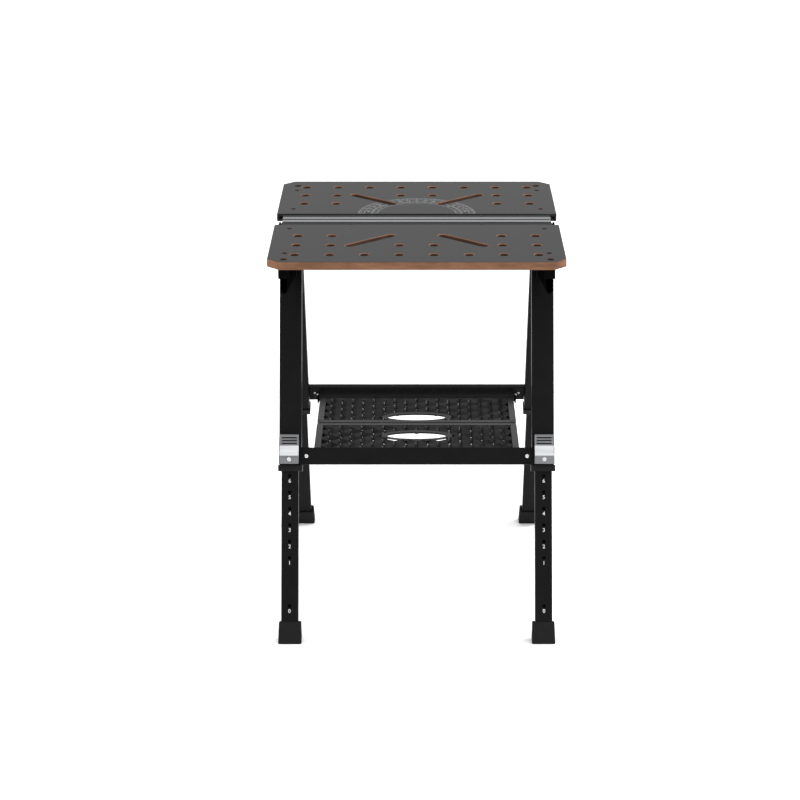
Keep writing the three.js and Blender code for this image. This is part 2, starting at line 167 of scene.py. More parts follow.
@dataclass(frozen=True)
class Finish:
    """A surface finish: a base colour that wanders between two tones, with fine relief.

    Attributes:
        name: the material's name, after the real finish.
        dark: the darker tone, sRGB hex.
        light: the lighter tone, sRGB hex.
        roughness: the mean roughness.
        metallic: 0 for paint and plastic, 1 for bare metal.
        tone_size: width in mm of the patches of tone.
        grain: size in mm of the relief's grains.
        depth: height in mm of the relief.
        stretch: how much longer the grain is along X, Y and Z.
        spread: how far roughness wanders each way.
        specular: the shader's specular level, lower for duller paint.
    """

    name: str
    dark: str
    light: str
    roughness: float
    metallic: float = 0.0
    tone_size: float = 60.0
    grain: float = 0.8
    depth: float = 0.02
    stretch: tuple[float, float, float] = (1.0, 1.0, 1.0)
    spread: float = 0.05
    specular: float = 0.5

    def build(self) -> bpy.types.Material:
        """Makes the material once, and returns the same one after that."""
        found = bpy.data.materials.get(self.name)
        if found:
            return found
        material = bpy.data.materials.new(self.name)
        material.use_nodes = True
        tree = material.node_tree
        shader = tree.nodes["Principled BSDF"]
        shader.inputs["Metallic"].default_value = self.metallic
        shader.inputs["Specular IOR Level"].default_value = self.specular
        place = node(tree, "TexCoord").outputs["Object"]
        scale = tuple(1 / part for part in self.stretch)
        along = node(tree, "Mapping", {"Scale": scale}, Vector=place).outputs["Vector"]
        slow = {"Scale": 1 / (self.tone_size * MM), "Detail": 4.0}
        fine = {"Scale": 1 / (self.grain * MM), "Detail": 2.0}
        patches = node(tree, "TexNoise", slow, Vector=along).outputs["Fac"]
        grains = node(tree, "TexNoise", fine, Vector=along).outputs["Fac"]
        self.colour(tree, shader, patches, grains)
        limits = {"To Min": self.roughness - self.spread, "To Max": self.roughness + self.spread}
        rough = node(tree, "MapRange", limits, Value=patches)
        tree.links.new(rough.outputs["Result"], shader.inputs["Roughness"])
        relief = {"Strength": 1.0, "Distance": self.depth * MM}
        bump = node(tree, "Bump", relief, Height=grains)
        tree.links.new(bump.outputs["Normal"], shader.inputs["Normal"])
        return material

    def colour(self, tree: Any, shader: Any, patches: Any, grains: Any) -> None:
        """Links the base colour: the two tones mixed by the slow noise, with a little of the fine one.

        Args:
            tree: the material's node tree.
            shader: the surface shader.
            patches: the slow noise.
            grains: the fine noise.
        """
        both = node(tree, "Math", {"operation": "MULTIPLY_ADD"})
        tree.links.new(grains, both.inputs[0])
        both.inputs[1].default_value = GRAIN_SHARE
        tree.links.new(patches, both.inputs[2])
        limits = {"From Min": TONE_RANGE[0], "From Max": TONE_RANGE[1]}
        ramp = node(tree, "MapRange", limits, Value=both.outputs[0])
        mix = node(tree, "Mix", {"data_type": "RGBA"})
        mix.inputs[6].default_value = linear(self.dark)
        mix.inputs[7].default_value = linear(self.light)
        tree.links.new(ramp.outputs["Result"], mix.inputs[0])
        tree.links.new(mix.outputs[2], shader.inputs["Base Color"])


# Phenolic resin film pressed on fibreboard: dense, dark grey, with a soft sheen and slight mottling.
FILM = Finish(
    "phenolic_film", "151516", "1b1b1c", 0.3,
    tone_size=90, grain=0.5, depth=0.005, spread=0.03, specular=0.09
)
# Bare medium-density fibreboard, cut and sealed: matt brown, finely fibrous along the board.
CORE = Finish(
    "fibreboard_edge", "5e402d", "805a42", 0.78,
    tone_size=9, grain=0.5, depth=0.05, stretch=(6, 6, 1), specular=0.25
)
# The same board on the walls of its drilled and routed openings and round its screw seats: painted darker
# as the shade inside them.
BORE_SHADE = Finish(
    "fibreboard_cut", "2c1d15", "452f22", 0.8,
    tone_size=9, grain=0.5, depth=0.05, stretch=(6, 6, 1), specular=0.2
)
# Extruded aluminium, anodised clear: satin, with die lines along its length.
ANODISED = Finish(
    "anodised_aluminium", "707274", "86888a", 0.36, metallic=1.0,
    tone_size=30, grain=0.4, depth=0.006, stretch=(60, 1, 1)
)
# Steel tube, powder coated black: even and satin with a faint orange-peel relief.
POWDER = Finish(
    "black_powder_coat", "070708", "0c0c0d", 0.46, tone_size=40, grain=0.9, depth=0.018, specular=0.1
)
# The same coating on expanded metal, painted a little paler as the faint sheen its strands catch.
POWDER_MESH = Finish(
    "grey_powder_coat", "0c0c0d", "161617", 0.42, tone_size=25, grain=0.9, depth=0.015, specular=0.2
)
# The coating on the shelf's frame, paler than the rest.
POWDER_PALE = Finish(
    "worn_powder_coat", "262627", "323233", 0.45, tone_size=30, grain=0.9, depth=0.015, specular=0.3
)
# The coating where it is never touched and stays dull.
POWDER_DULL = Finish(
    "dull_powder_coat", "070708", "0b0b0c", 0.85, tone_size=40, grain=0.9, depth=0.02, specular=0.0
)
# Pressed steel, bright zinc plated: pale, with a soft broken reflection.
ZINC = Finish(
    "bright_zinc_plate", "b4b5b7", "cecfd1", 0.36, metallic=0.4,
    tone_size=14, grain=0.35, depth=0.005, stretch=(8, 1, 1)
)
# The same plating, painted darker as shade on the latch's grip plate and block, beside its lit slope.
ZINC_SHADE = Finish(
    "dulled_zinc_plate", "67686a", "7e7f81", 0.45, metallic=0.5,
    tone_size=10, grain=0.35, depth=0.006, stretch=(8, 1, 1)
)
# Glass-filled nylon moulding: black and matt, with a spark-eroded grain.
NYLON = Finish(
    "black_nylon", "0b0b0c", "111112", 0.6, tone_size=20, grain=0.4, depth=0.012, specular=0.2
)
# Moulded rubber: soft black, dusty on its high spots.
RUBBER = Finish(
    "black_rubber", "0c0c0d", "131314", 0.8, tone_size=12, grain=0.6, depth=0.03, specular=0.2
)
# Screen-printed light grey ink on the board film.
INK = Finish("grey_print", "77787a", "939496", 0.55, tone_size=8, grain=0.5, depth=0.0)
# White printed figures on the legs.
WHITE_INK = Finish("white_print", "c9c9c9", "e4e4e4", 0.6, tone_size=8, grain=0.5, depth=0.0)
# Bright steel screw heads.
SCREW = Finish(
    "steel_screw", "c2c3c5", "e6e6e8", 0.28, metallic=0.85, tone_size=6, grain=0.4, depth=0.004
)
# Blackened steel screw heads.
DARK_SCREW = Finish(
    "black_screw", "0c0c0d", "1a1a1b", 0.5, metallic=0.4, tone_size=6, grain=0.4, depth=0.004
)
# Matt white backdrop paper.
PAPER = Finish(
    "backdrop_paper", "f4f4f4", "f8f8f8", 0.9, tone_size=900, grain=3, depth=0.0, specular=0.1
)


# ---- Mesh tools ----


def new_object(name: str, mesh: Mesh, finishes: Sequence[Finish]) -> Piece:
    """Puts a mesh in the scene with its finishes as material slots."""
    made = bpy.data.objects.new(name, mesh)
    bpy.context.scene.collection.objects.link(made)
    mesh.materials.clear()
    for finish in finishes:
        mesh.materials.append(finish.build())
    return made


def weld(mesh: Mesh) -> None:
    """Merges a mesh's doubled points and turns its faces outwards."""
    work = bmesh.new()
    work.from_mesh(mesh)
    bmesh.ops.remove_doubles(work, verts=work.verts, dist=WELD)
    bmesh.ops.recalc_face_normals(work, faces=work.faces)
    work.to_mesh(mesh)
    work.free()


def mesh_of(name: str, points: np.ndarray, faces: Sequence[Sequence[int]]) -> Mesh:
    """Makes a mesh from an array of points and a list of faces, with its faces turned outwards."""
    mesh = bpy.data.meshes.new(name)
    mesh.from_pydata(points.tolist(), [], [list(face) for face in faces])
    weld(mesh)
    return mesh


def smooth(mesh: Mesh, degrees: float = 40.0) -> None:
    """Shades a mesh smooth up to an angle between its faces."""
    mesh.shade_smooth()
    mesh.set_sharp_from_angle(angle=math.radians(degrees))


def swept(profile: np.ndarray, path: np.ndarray, across: np.ndarray, up: np.ndarray) -> Shell:
    """Carries a closed profile along a path.

    A point is path + across * profile u + up * profile v, for all path steps and profile points at once.

    Args:
        profile: (n, 2) outline.
        path: (m, 3) centre line.
        across: (m, 3) direction of the profile's first axis.
        up: (m, 3) direction of its second axis.

    Returns:
        The points and the faces, with a flat cap at each end.
    """
    n, m = len(profile), len(path)
    points = path[:, None] + across[:, None] * profile[None, :, :1] + up[:, None] * profile[None, :, 1:]
    i, j = np.meshgrid(np.arange(m - 1), np.arange(n), indexing="ij")
    k = (j + 1) % n
    quads = np.stack([i * n + j, i * n + k, (i + 1) * n + k, (i + 1) * n + j], axis=-1).reshape(-1, 4)
    faces = quads.tolist() + [list(range(n)), list(range((m - 1) * n, m * n))]
    return points.reshape(-1, 3), faces


def prism_x(profile: np.ndarray, x0: float, x1: float) -> Shell:
    """A bar of one (y, z) outline from x0 to x1."""
    path = np.array([[x0, 0, 0], [x1, 0, 0]], float)
    return swept(profile, path, np.tile([0.0, 1, 0], (2, 1)), np.tile([0.0, 0, 1], (2, 1)))


def turned(profile: np.ndarray, steps: int = 32) -> Shell:
    """Turns a (radius, height) profile round the Z axis.

    A point is (r cos a, r sin a, h) for each profile point and each of the equal angles a. The profile
    starts and ends on the axis, where its points merge into a pole.
    """
    angle = np.linspace(0, 2 * math.pi, steps, endpoint=False)
    r, h = profile[:, 0], profile[:, 1]
    rings = [np.outer(np.cos(angle), r), np.outer(np.sin(angle), r), np.tile(h, (steps, 1))]
    points = np.stack(rings, axis=-1)
    n = len(profile)
    i, j = np.meshgrid(np.arange(steps), np.arange(n - 1), indexing="ij")
    k = (i + 1) % steps
    quads = np.stack([i * n + j, k * n + j, k * n + j + 1, i * n + j + 1], axis=-1)
    return points.reshape(-1, 3), quads.reshape(-1, 4).tolist()


def evaluated(source: Piece) -> Mesh:
    """Works out an object's curve or modifiers into a mesh of its own."""
    bpy.context.view_layer.update()
    return bpy.data.meshes.new_from_object(source.evaluated_get(bpy.context.evaluated_depsgraph_get()))


def curve_mesh(curve: bpy.types.Curve) -> Mesh:
    """Works out a curve into a mesh, by way of an object that is then removed."""
    carrier = bpy.data.objects.new(curve.name + "_outline", curve)
    bpy.context.scene.collection.objects.link(carrier)
    mesh = evaluated(carrier)
    bpy.data.objects.remove(carrier)
    return mesh


def flat_shape(
    name: str,
    loops: Iterable[np.ndarray],
    span: tuple[float, float],
    edge: float,
    finishes: Sequence[Finish],
) -> Piece:
    """Raises a filled outline with holes into a plate with a small chamfer on every edge.

    Args:
        name: the piece's name.
        loops: closed (n, 2) outlines; the ones inside another are holes.
        span: heights of the underside and the upper side.
        edge: size of the chamfer.
        finishes: the material slots; every face starts in the first one.

    Returns:
        The plate, with its place in its mesh.
    """
    bottom, top = span
    curve = bpy.data.curves.new(name, "CURVE")
    curve.dimensions = "2D"
    curve.fill_mode = "BOTH"
    curve.extrude = (top - bottom) / 2 - edge
    curve.bevel_depth = edge
    curve.bevel_resolution = 1
    curve.offset = -edge
    for loop in loops:
        spline = curve.splines.new("POLY")
        spline.points.add(len(loop) - 1)
        flat = np.column_stack([loop, np.zeros(len(loop)), np.ones(len(loop))])
        spline.points.foreach_set("co", flat.ravel())
        spline.use_cyclic_u = True
    mesh = curve_mesh(curve)
    weld(mesh)
    mesh.transform(Matrix.Translation((0, 0, (top + bottom) / 2)))
    mesh.name = name
    return new_object(name, mesh, finishes)


def depth_inside(points: np.ndarray, outline: np.ndarray) -> np.ndarray:
    """How far each (x, y) point lies inside a convex outline: the least distance to its sides' lines."""
    sides = np.roll(outline, -1, axis=0) - outline
    across = np.column_stack([-sides[:, 1], sides[:, 0]]) / np.linalg.norm(sides, axis=1, keepdims=True)
    away = ((points[:, None] - outline[None]) * across[None]).sum(axis=2)
    return np.abs(away).min(axis=1)


def circle(x: float, y: float, radius: float, steps: int = 40) -> np.ndarray:
    """A ring of points: centre + radius (cos a, sin a)."""
    a = np.linspace(0, 2 * math.pi, steps, endpoint=False)
    return np.column_stack([x + radius * np.cos(a), y + radius * np.sin(a)])


def slot_loop(a: Sequence[float], b: Sequence[float], width: float, steps: int = 12) -> np.ndarray:
    """A slot outline: a half circle about each of two points, joined by straight sides."""
    a, b = np.array(a, float), np.array(b, float)
    turn = math.atan2(*(b - a)[::-1])
    half = np.linspace(-math.pi / 2, math.pi / 2, steps)
    ends = [(b, half + turn), (a, half + turn + math.pi)]
    return np.vstack([c + width / 2 * np.column_stack([np.cos(t), np.sin(t)]) for c, t in ends])


def joined(name: str, parts: Iterable[Shell], finishes: Sequence[Finish]) -> Piece:
    """Makes one object of several shells."""
    points, faces, start = [], [], 0
    for part_points, part_faces in parts:
        points.append(part_points)
        faces += [[start + i for i in face] for face in part_faces]
        start += len(part_points)
    return new_object(name, mesh_of(name, np.vstack(points), faces), finishes)


def placed(points: np.ndarray, matrix: Matrix) -> np.ndarray:
    """Moves an array of points by a matrix."""
    m = np.array(matrix)
    return points @ m[:3, :3].T + m[:3, 3]


@dataclass(frozen=True)
class ScrewHead:
    """A domed screw head with a round socket, standing on Z = 0.

    Shoulder and root are where the dome and the head begin, as shares of the height, and socket is the
    socket's radius as a share of the dome's where it ends, sweep_deg round.
    """

    radius: float
    height: float
    recess: float
    shoulder: float = 0.35
    root: float = 0.4
    socket: float = 0.72
    sweep_deg: float = 62.0

    def shell(self, spot: Matrix) -> Shell:
        """The skin in place; its dome is (radius cos t, height (shoulder + (1 - shoulder) sin t))."""
        t = np.linspace(0, math.radians(self.sweep_deg), 5)
        rise = self.shoulder + (1 - self.shoulder) * np.sin(t)
        dome = np.column_stack([self.radius * np.cos(t), self.height * rise])
        foot, rim, bottom = -self.root * self.height, dome[-1, 0] * self.socket, dome[-1, 1] - self.recess
        profile = np.vstack([[[0, foot], [self.radius, foot]], dome, [[rim, bottom], [0, bottom]]])
        points, faces = turned(profile, 20)
        return placed(points, spot), faces


def screw_set(name: str, shells: Iterable[Shell], finish: Finish) -> Piece:
    """Makes one smooth piece of a set of screw heads."""
    heads = joined(name, shells, [finish])
    smooth(heads.data)
    return heads


@dataclass(frozen=True)
class Rounding:
    """How a CAD node's copy is eased: its long edges by one radius, its other edges by a smaller one.

    An edge is long from long_from on, where its faces turn by long_turn; the others ease from sharp_deg.
    """

    finish: Finish
    long_radius: float = 0.0
    edge: float = 0.35 * MM
    long_from: float = 60 * MM
    long_turn: float = math.radians(60)
    sharp_deg: float = 50.0
    segments: int = 4

    def is_long(self, edge: Any) -> bool:
        """True for a long convex edge between faces that turn far enough."""
        turns = edge.calc_face_angle(0) > self.long_turn
        return edge.calc_length() > self.long_from and turns and edge.is_convex

    def apply(self, node_name: str, body: str) -> Piece:
        """Makes the eased copy, which stands for the node.

        Args:
            node_name: the CAD node.
            body: the body it rides on.

        Returns:
            The new piece.
        """
        source = bpy.data.objects[node_name]
        mesh = source.data.copy()
        mesh.name = node_name + "_finish"
        work = bmesh.new()
        work.from_mesh(mesh)
        bmesh.ops.remove_doubles(work, verts=work.verts, dist=2 * WELD)
        bmesh.ops.dissolve_limit(work, angle_limit=FLAT, verts=work.verts, edges=work.edges)
        if self.long_radius > 0:
            long_edges = [edge for edge in work.edges if self.is_long(edge)]
            bmesh.ops.bevel(
                work, geom=long_edges, offset=self.long_radius, segments=self.segments, profile=0.5,
                affect="EDGES", clamp_overlap=True,
            )
        work.to_mesh(mesh)
        work.free()
        piece = new_object(node_name + "_finish", mesh, [self.finish])
        smooth(mesh, self.sharp_deg)
        ease = piece.modifiers.new("ease", "BEVEL")
        ease.width = self.edge
        ease.segments = 2
        ease.limit_method = "ANGLE"
        ease.angle_limit = math.radians(self.sharp_deg)
        ease.harden_normals = False
        even = piece.modifiers.new("even", "WEIGHTED_NORMAL")
        even.keep_sharp = False
        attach(piece, body)
        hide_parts(node_name)
        return piece


# ---- Sub-assemblies ----


@dataclass
class Tops:
    """The two tops: film on both faces, bare fibreboard on the edges, holes, slots and sunk screws."""

    chamfer: float = 26 * MM
    pitch: float = 75 * MM
    hole: float = 10 * MM
    margin: float = 57.5 * MM
    slot_width: float = 20 * MM
    slot_outer: tuple[float, float] = (146 * MM, 130 * MM)
    slot_inner: tuple[float, float] = (57 * MM, 210 * MM)
    edge: float = 1.5 * MM
    screw_x: float = 285 * MM
    screw_hole: float = 5.0 * MM
    bolt_hole: float = 7.5 * MM
    sunk: float = 4.0 * MM
    front_screws: tuple[float, ...] = (277 * MM, 80 * MM)
    rear_screws: tuple[float, ...] = (261 * MM, 90 * MM)
    front_bolt: float = 326 * MM
    rear_bolt: float = 303 * MM
    screw_gap: float = 0.2 * MM
    screw_height: float = 1.0 * MM
    screw_recess: float = 0.7 * MM
    # Rows of clamping holes from the far edge, each as distances from the middle in pitches.
    rows: tuple[tuple[float, ...], ...] = ((0.5, 1.5, 2.5, 3.5), (0.5, 2.5, 3.5), (2.5, 3.5))
    # The bore in each inner corner's edge.
    bore_x: float = 310.5 * MM
    bore_inset: float = 14 * MM
    bore_drop: float = 10.5 * MM
    bore_radius: float = 3 * MM
    bore_depth: float = 16 * MM
    # How near the outline, a screw hole and the inner edge a face's finish changes.
    opening_from: float = 3 * MM
    screw_ring: float = 3 * MM
    filmed_band: float = 2 * MM
    # How upright a normal is at an opening's wall, a bare edge and a filmed face.
    wall_level: float = 0.3
    edge_level: float = 0.6
    film_level: float = 0.96

    def screw_spots(self, end: End) -> list[tuple[float, float, float]]:
        """Where the arm screws go through one panel, drawn as the front one: x, y and hole radius."""
        front = end is End.FRONT
        small = self.front_screws if front else self.rear_screws
        big = self.front_bolt if front else self.rear_bolt
        spots = [(y, self.screw_hole) for y in small] + [(big, self.bolt_hole)]
        return [(s * self.screw_x, -y, radius) for s in (-1, 1) for y, radius in spots]

    def loops(self, end: End, low: Vector, high: Vector) -> list[np.ndarray]:
        """The outline of one panel and its openings, drawn as the front one, from that node's box."""
        x, far, near, c = high.x, low.y, high.y, self.chamfer
        outline = [[-x, near], [-x, far + c], [-x + c, far], [x - c, far], [x, far + c], [x, near]]
        loops = [np.array(outline)]
        for row, places in enumerate(self.rows):
            y = far + self.margin + row * self.pitch
            loops += [circle(s * p * self.pitch, y, self.hole) for p in places for s in (-1, 1)]
        for s in (-1, 1):
            ends = [(s * px, far + py) for px, py in (self.slot_outer, self.slot_inner)]
            loops.append(slot_loop(*ends, self.slot_width))
        return loops + [circle(*spot, 28) for spot in self.screw_spots(end)]

    def build(self) -> None:
        """Builds both panels with their screws."""
        low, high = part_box("top_panel_front")
        for end in End:
            name = f"top_panel_{end.value}"
            loops = [loop * end.sign for loop in self.loops(end, low, high)]
            panel = flat_shape(name + "_board", loops, (low.z, high.z), self.edge, [FILM, CORE, BORE_SHADE])
            self.zones(panel, end, loops[0], high.y)
            self.edge_bores(panel, end, high)
            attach(panel, f"top_{end.value}")
            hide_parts(name)
            self.screws(end, high.z)
            LOG.info("panel %s: %d faces", name, len(panel.data.polygons))

    def zones(self, panel: Piece, end: End, outline: np.ndarray, near: float) -> None:
        """Bares the board at its outer edge and on every opening's chamfer, and paints the walls of the
        openings and the screw seats with the darker board as painted shade.

        Args:
            panel: the board, with film, core and the darker board of painted shade as its finishes.
            end: which board it is.
            outline: its outer outline.
            near: where its inner edge lies, which is filmed like the faces.
        """
        faces = panel.data.polygons
        centres, normals = np.zeros(len(faces) * 3), np.zeros(len(faces) * 3)
        faces.foreach_get("center", centres)
        faces.foreach_get("normal", normals)
        centres = centres.reshape(-1, 3)
        level = np.abs(normals.reshape(-1, 3)[:, 2])
        opening = depth_inside(centres[:, :2], outline) > self.opening_from
        # Near-upright walls inside the openings take the darker board, painted as the shade inside holes
        # and slots; their chamfers keep the bare core.
        cut = np.where(level < self.wall_level, 2, 1)
        index = np.where(opening, cut, (level < self.edge_level).astype(int))
        # Round each screw seat the opening also takes the darker board, as painted shade in the recess.
        for x, y, radius in self.screw_spots(end):
            off = np.hypot(centres[:, 0] - x, centres[:, 1] - y * end.sign)
            index[(off < radius + self.screw_ring) & opening] = 2
        index[level > self.film_level] = 0
        index[np.abs(centres[:, 1]) < abs(near) + self.filmed_band] = 0
        faces.foreach_set("material_index", index.astype(np.int32))

    def edge_bores(self, panel: Piece, end: End, high: Vector) -> None:
        """Cuts the round bore into each inner corner of a panel's edge."""
        radius, depth = self.bore_radius, self.bore_depth
        for s in (-1, 1):
            points, faces = turned(np.array([[0, 0], [radius, 0], [radius, depth], [0, depth]]), 20)
            place = (s * self.bore_x, high.y - self.bore_inset, high.z - self.bore_drop)
            spot = Matrix.Translation(place)
            turn = end.turn @ spot @ Matrix.Rotation(-math.pi / 2, 4, "X")
            boolean_cut(panel, new_object("drill", mesh_of("drill", placed(points, turn), faces), [CORE]))

    def screws(self, end: End, top: float) -> None:
        """Sinks the arm screws into their holes: small ones along the arm, a larger one at its end."""
        shells = []
        for x, y, radius in self.screw_spots(end):
            head = ScrewHead(radius - self.screw_gap, self.screw_height, self.screw_recess)
            shells.append(head.shell(Matrix.Translation((x, y * end.sign, top - self.sunk))))
        heads = screw_set(f"top_screws_{end.value}", shells, DARK_SCREW)
        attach(heads, f"top_{end.value}")


def boolean_cut(target: Piece, tool: Piece) -> None:
    """Cuts one piece by another, applies the cut and removes the cutter."""
    cut = target.modifiers.new("cut", "BOOLEAN")
    cut.operation = "DIFFERENCE"
    cut.solver = "EXACT"
    cut.object = tool
    cut.material_mode = "TRANSFER"
    done = evaluated(target)
    target.modifiers.remove(cut)
    target.data = done
    bpy.data.objects.remove(tool)


@dataclass
class Scale:
    """The printed half-circle scale of degrees on the rear panel.

    Each pair of tick lengths is the long one, then the short one; tick is half a short one's width.
    """

    centre_y: float = 50 * MM
    radii: tuple[float, ...] = (133 * MM, 120 * MM, 104 * MM, 90 * MM)
    line: float = 0.9 * MM
    lift: float = 0.12 * MM
    slot_clear: float = 12 * MM
    outer_ticks: tuple[float, float] = (14 * MM, 8 * MM)
    inner_ticks: tuple[float, float] = (12 * MM, 6 * MM)
    tick: float = 0.35 * MM
    long_tick: float = 1.6
    facet: float = 2.5 * MM
    figure_size: float = 10 * MM

    def clear_of_slots(self, x: np.ndarray, y: np.ndarray) -> np.ndarray:
        """True where a point of the print is off both slanted slots of the rear panel."""
        tops = Tops()
        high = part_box("top_panel_rear")[1]
        clear = np.ones(np.shape(x), bool)
        for s in (-1, 1):
            a = np.array([s * tops.slot_outer[0], high.y - tops.slot_outer[1]])
            b = np.array([s * tops.slot_inner[0], high.y - tops.slot_inner[1]])
            run = b - a
            t = np.clip(((x - a[0]) * run[0] + (y - a[1]) * run[1]) / run.dot(run), 0, 1)
            clear &= np.hypot(x - a[0] - t * run[0], y - a[1] - t * run[1]) > self.slot_clear
        return clear

    def patch(self, r0: float, r1: float, a0: float, a1: float, z: float) -> Shell:
        """A thin ring sector between two radii and two angles, where it is clear of the slots."""
        steps = max(2, int(abs(a1 - a0) * r1 / self.facet) + 2)
        a, r = np.meshgrid(np.linspace(a0, a1, steps), [r0, r1], indexing="ij")
        x, y = r * np.cos(a), self.centre_y + r * np.sin(a)
        points = np.stack([x, y, np.full_like(x, z)], axis=-1).reshape(-1, 3)
        keep = self.clear_of_slots(x, y).all(axis=1)
        i = np.flatnonzero(keep[:-1] & keep[1:])
        return points, np.stack([2 * i, 2 * i + 1, 2 * i + 3, 2 * i + 2], axis=-1).tolist()

    def build(self) -> None:
        """Builds the arcs, the ticks and the figures."""
        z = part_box("top_panel_rear")[1].z + self.lift
        half = self.line / 2
        shells = [self.patch(r - half, r + half, 0, math.pi, z) for r in self.radii]
        for degree in range(0, 181, 2):
            long = degree % 10 == 0
            middle = math.radians(degree)
            for r1, lengths in ((self.radii[0], self.outer_ticks), (self.radii[2], self.inner_ticks)):
                r0 = r1 - (lengths[0] if long else lengths[1])
                width = self.tick / r1 * (self.long_tick if long else 1)
                shells.append(self.patch(r0, r1, middle - width, middle + width, z))
        shells = [(points, faces) for points, faces in shells if faces]
        print_piece = joined("degree_scale", shells, [INK])
        flatten(print_piece)
        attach(print_piece, "top_rear")
        self.figures(z)
        LOG.info("degree scale: %d faces", len(print_piece.data.polygons))

    def figures(self, z: float) -> None:
        """Prints the degree figures between the two inner arcs."""
        radius = (self.radii[1] + self.radii[2]) / 2
        parts = []
        for degree in range(10, 171, 10):
            a = math.radians(degree)
            x, y = radius * math.cos(a), self.centre_y + radius * math.sin(a)
            if not self.clear_of_slots(np.array([x]), np.array([y]))[0]:
                continue
            turn = Matrix.Translation((x, y, z)) @ Matrix.Rotation(a - math.pi / 2, 4, "Z")
            parts.append(text_mesh(str(abs(90 - degree)), self.figure_size, turn))
        figures = merged_meshes("degree_figures", parts, [INK])
        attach(figures, "top_rear")


def flatten(piece: Piece) -> None:
    """Gives a print a hair of thickness, below its faces."""
    thick = piece.modifiers.new("film", "SOLIDIFY")
    thick.thickness = PRINT_FILM
    thick.offset = -1
    for face in piece.data.polygons:
        if face.normal.z < 0:
            face.flip()


def text_mesh(text: str, size: float, matrix: Matrix) -> Mesh:
    """A line of plain figures, centred, as a thin raised mesh in place.

    Args:
        text: the figures.
        size: their height setting.
        matrix: where they lie, facing +Z of that matrix.

    Returns:
        The mesh.
    """
    curve = bpy.data.curves.new("figures", "FONT")
    curve.body = text
    curve.size = size
    curve.align_x = "CENTER"
    curve.align_y = "CENTER"
    curve.extrude = PRINT_FILM / 2
    curve.offset = size * FIGURE_WEIGHT
    curve.resolution_u = 3
    mesh = curve_mesh(curve)
    mesh.transform(matrix)
    return mesh


def merged_meshes(name: str, parts: Iterable[Mesh], finishes: Sequence[Finish]) -> Piece:
    """Joins finished meshes into one object."""
    work = bmesh.new()
    for part in parts:
        work.from_mesh(part)
    bmesh.ops.remove_doubles(work, verts=work.verts, dist=WELD)
    for face in work.faces:
        face.material_index = 0
    mesh = bpy.data.meshes.new(name)
    work.to_mesh(mesh)
    work.free()
    return new_object(name, mesh, finishes)


@dataclass
class CentreRail:
    """The beam between the tops: folded steel strips with an extruded T-track between them."""

    slot: float = 4.1 * MM
    pocket: float = 8.5 * MM
    lip: float = 3.2 * MM
    groove: float = 0.5 * MM
    # The four corners of a lip's groove, from the middle.
    groove_at: tuple[float, ...] = (11 * MM, 11.6 * MM, 12.4 * MM, 13 * MM)
    undercut: float = 7 * MM
    lip_edge: float = 0.4 * MM
    edge: float = 0.5 * MM
    screw_x: float = 147 * MM
    screw_y: float = 33.5 * MM
    screw: ScrewHead = ScrewHead(3.6 * MM, 1.2 * MM, 0.7 * MM)

    def profile(self, low: Vector, high: Vector) -> np.ndarray:
        """The track's outline: two lips with a fine groove each, over an undercut slot."""
        y, top, bottom, edge = high.y, high.z, low.z, self.edge
        floor = top - self.groove
        start, down, up, end = self.groove_at
        right = [
            [self.slot, top - self.lip], [self.slot, top - self.lip_edge], [self.slot + self.lip_edge, top],
            [start, top], [down, floor], [up, floor], [end, top],
            [y - edge, top], [y, top - edge], [y, bottom + edge], [y - edge, bottom],
        ]
        inner = [[self.pocket, top - self.lip], [self.pocket, top - self.lip - self.undercut]]
        half = np.array(inner[::-1] + right)
        return np.vstack([half, (half * [-1, 1])[::-1]])

    def build(self) -> None:
        """Builds the track, eases the beam and sets its screws."""
        low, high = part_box("t_track")
        points, faces = prism_x(self.profile(low, high), low.x, high.x)
        track = joined("t_track_extrusion", [(points, faces)], [ANODISED])
        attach(track, "apex")
        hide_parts("t_track")
        Rounding(POWDER, edge=0.5 * MM).apply("centre_beam", "apex")
        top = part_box("centre_beam")[1].z
        shells = []
        for s in (-1, 1):
            for t in (-1, 1):
                spot = Matrix.Translation((s * self.screw_x, t * self.screw_y, top))
                shells.append(self.screw.shell(spot))
        heads = screw_set("beam_screws", shells, DARK_SCREW)
        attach(heads, "apex")


@dataclass(frozen=True)
class BarScrews:
    """The screws near each end of a cross bar, as (x, distance down from the pivot)."""

    outside: tuple[tuple[float, float], ...]
    inside: tuple[tuple[float, float], ...]
    head: ScrewHead


BAR_SCREWS = {
    End.FRONT: BarScrews(
        outside=((249.5 * MM, 444.2 * MM),), inside=((249.5 * MM, 444.2 * MM),),
        head=ScrewHead(4.6 * MM, 2.4 * MM, 1.4 * MM),
    ),
    End.REAR: BarScrews(
        outside=((249.5 * MM, 427.5 * MM),),
        inside=((246.5 * MM, 424.4 * MM), (239.5 * MM, 430.0 * MM)),
        head=ScrewHead(3.2 * MM, 2.4 * MM, 1.4 * MM),
    ),
}


